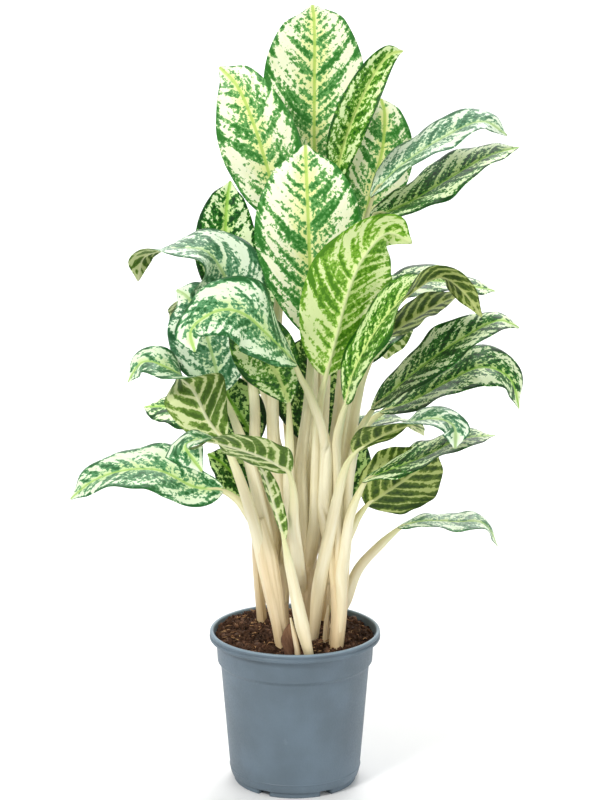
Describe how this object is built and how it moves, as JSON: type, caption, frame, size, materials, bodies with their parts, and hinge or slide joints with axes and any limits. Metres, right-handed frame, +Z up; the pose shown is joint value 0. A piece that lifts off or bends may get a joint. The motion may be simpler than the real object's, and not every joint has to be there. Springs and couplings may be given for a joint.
{
  "type": "potted chinese evergreen",
  "caption": "Chinese evergreen house plant: variegated green and cream leaves on pale petioles, rising from soil in a round tapered nursery pot with feet.",
  "frame": {"origin": "on the surface that the pot's feet stand on, under the middle of the pot", "axes": "+Z up; -Y is the front of the plant, +X its right-hand side as seen from the front"},
  "size_m": [0.4371, 0.338, 0.7641],
  "materials": {
    "pot_plastic": "matte",
    "soil": "matte",
    "cane": "satin",
    "dry_sheath": "matte",
    "leaf": "satin",
    "leaf_young": "satin",
    "leaf_shaded": "satin"
  },
  "bodies": {
    "root": {"leaf_back_centre": "leaf_shaded", "leaf_back_high": "leaf", "leaf_back_left": "leaf", "leaf_back_left_mid": "leaf", "leaf_back_low": "leaf", "leaf_back_right": "leaf", "leaf_back_right_low": "leaf", "leaf_back_upright": "leaf", "leaf_centre": "leaf", "leaf_crown_back": "leaf", "leaf_crown_left": "leaf", "leaf_crown_right": "leaf", "leaf_crown_sword": "leaf", "leaf_dark_gap": "leaf_shaded", "leaf_dark_left": "leaf_shaded", "leaf_dark_left_low": "leaf_shaded", "leaf_far_left": "leaf", "leaf_far_right_low": "leaf", "leaf_front_left": "leaf", "leaf_front_lime": "leaf_young", "leaf_front_low": "leaf", "leaf_left_arching": "leaf", "leaf_left_back_low": "leaf", "leaf_left_folded": "leaf", "leaf_left_pale": "leaf", "leaf_left_upright": "leaf", "leaf_right_arching": "leaf", "leaf_right_back_high": "leaf", "leaf_right_drooping": "leaf", "leaf_right_long": "leaf", "leaf_right_low_under": "leaf", "leaf_right_main": "leaf", "leaf_right_mint": "leaf", "leaf_right_under": "leaf", "leaf_strip": "leaf", "leaf_under_left": "leaf", "leaf_upper_right": "leaf", "leaf_upper_right_low": "leaf", "pot": "pot_plastic", "sheath_dry": "dry_sheath", "sheath_torn": "cane", "sheath_young": "cane", "soil": "soil", "stem_back": "cane", "stem_left": "cane", "stem_left_back": "cane", "stem_middle": "cane", "stem_middle_left": "cane", "stem_right": "cane", "stem_right_back": "cane"}
  },
  "joints": []
}
